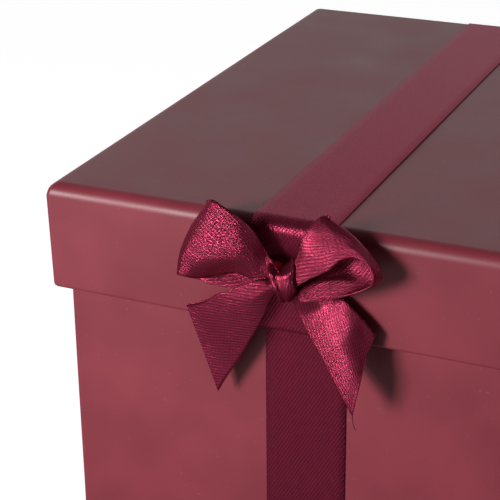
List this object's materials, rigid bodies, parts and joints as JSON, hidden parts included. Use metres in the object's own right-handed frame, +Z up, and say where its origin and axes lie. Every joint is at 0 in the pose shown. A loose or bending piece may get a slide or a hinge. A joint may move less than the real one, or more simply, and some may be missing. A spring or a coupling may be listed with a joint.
{
  "type": "paper gift box",
  "caption": "Rigid paper-wrapped gift box with a deep lift-off lid, satin ribbon bands and a satin bow on the lid's front.",
  "frame": {"origin": "centre of the base's plan, on the surface that the box stands on", "axes": "+Z up, towards the lid; +X to the right along the front; the front face, with the bow, looks towards -Y"},
  "size_m": [0.096, 0.1431, 0.0995],
  "materials": {
    "wrap_paper": "satin",
    "grey_board": "matte",
    "lining_paper": "matte",
    "stay_paper": "matte",
    "satin_ribbon": "satin",
    "glue_pad": "matte"
  },
  "bodies": {
    "base": {"base_board": "grey_board", "base_wrap": "wrap_paper", "base_lining": "lining_paper", "base_stay_front_left": "stay_paper", "base_stay_front_right": "stay_paper", "base_stay_back_left": "stay_paper", "base_stay_back_right": "stay_paper", "base_ribbon": "satin_ribbon"},
    "lid": {"lid_board": "grey_board", "lid_wrap": "wrap_paper", "lid_lining": "lining_paper", "lid_stay_front_left": "stay_paper", "lid_stay_front_right": "stay_paper", "lid_stay_back_left": "stay_paper", "lid_stay_back_right": "stay_paper", "lid_ribbon": "satin_ribbon", "bow_knot": "satin_ribbon", "bow_loop_left": "satin_ribbon", "bow_loop_right": "satin_ribbon", "bow_tail_left": "satin_ribbon", "bow_tail_right": "satin_ribbon", "bow_glue_pad": "glue_pad"}
  },
  "joints": [
    {"name": "lid_lift", "type": "slide", "parent": "base", "child": "lid", "axis": [0, 0, 1], "range_m": [0, 0.06]}
  ]
}
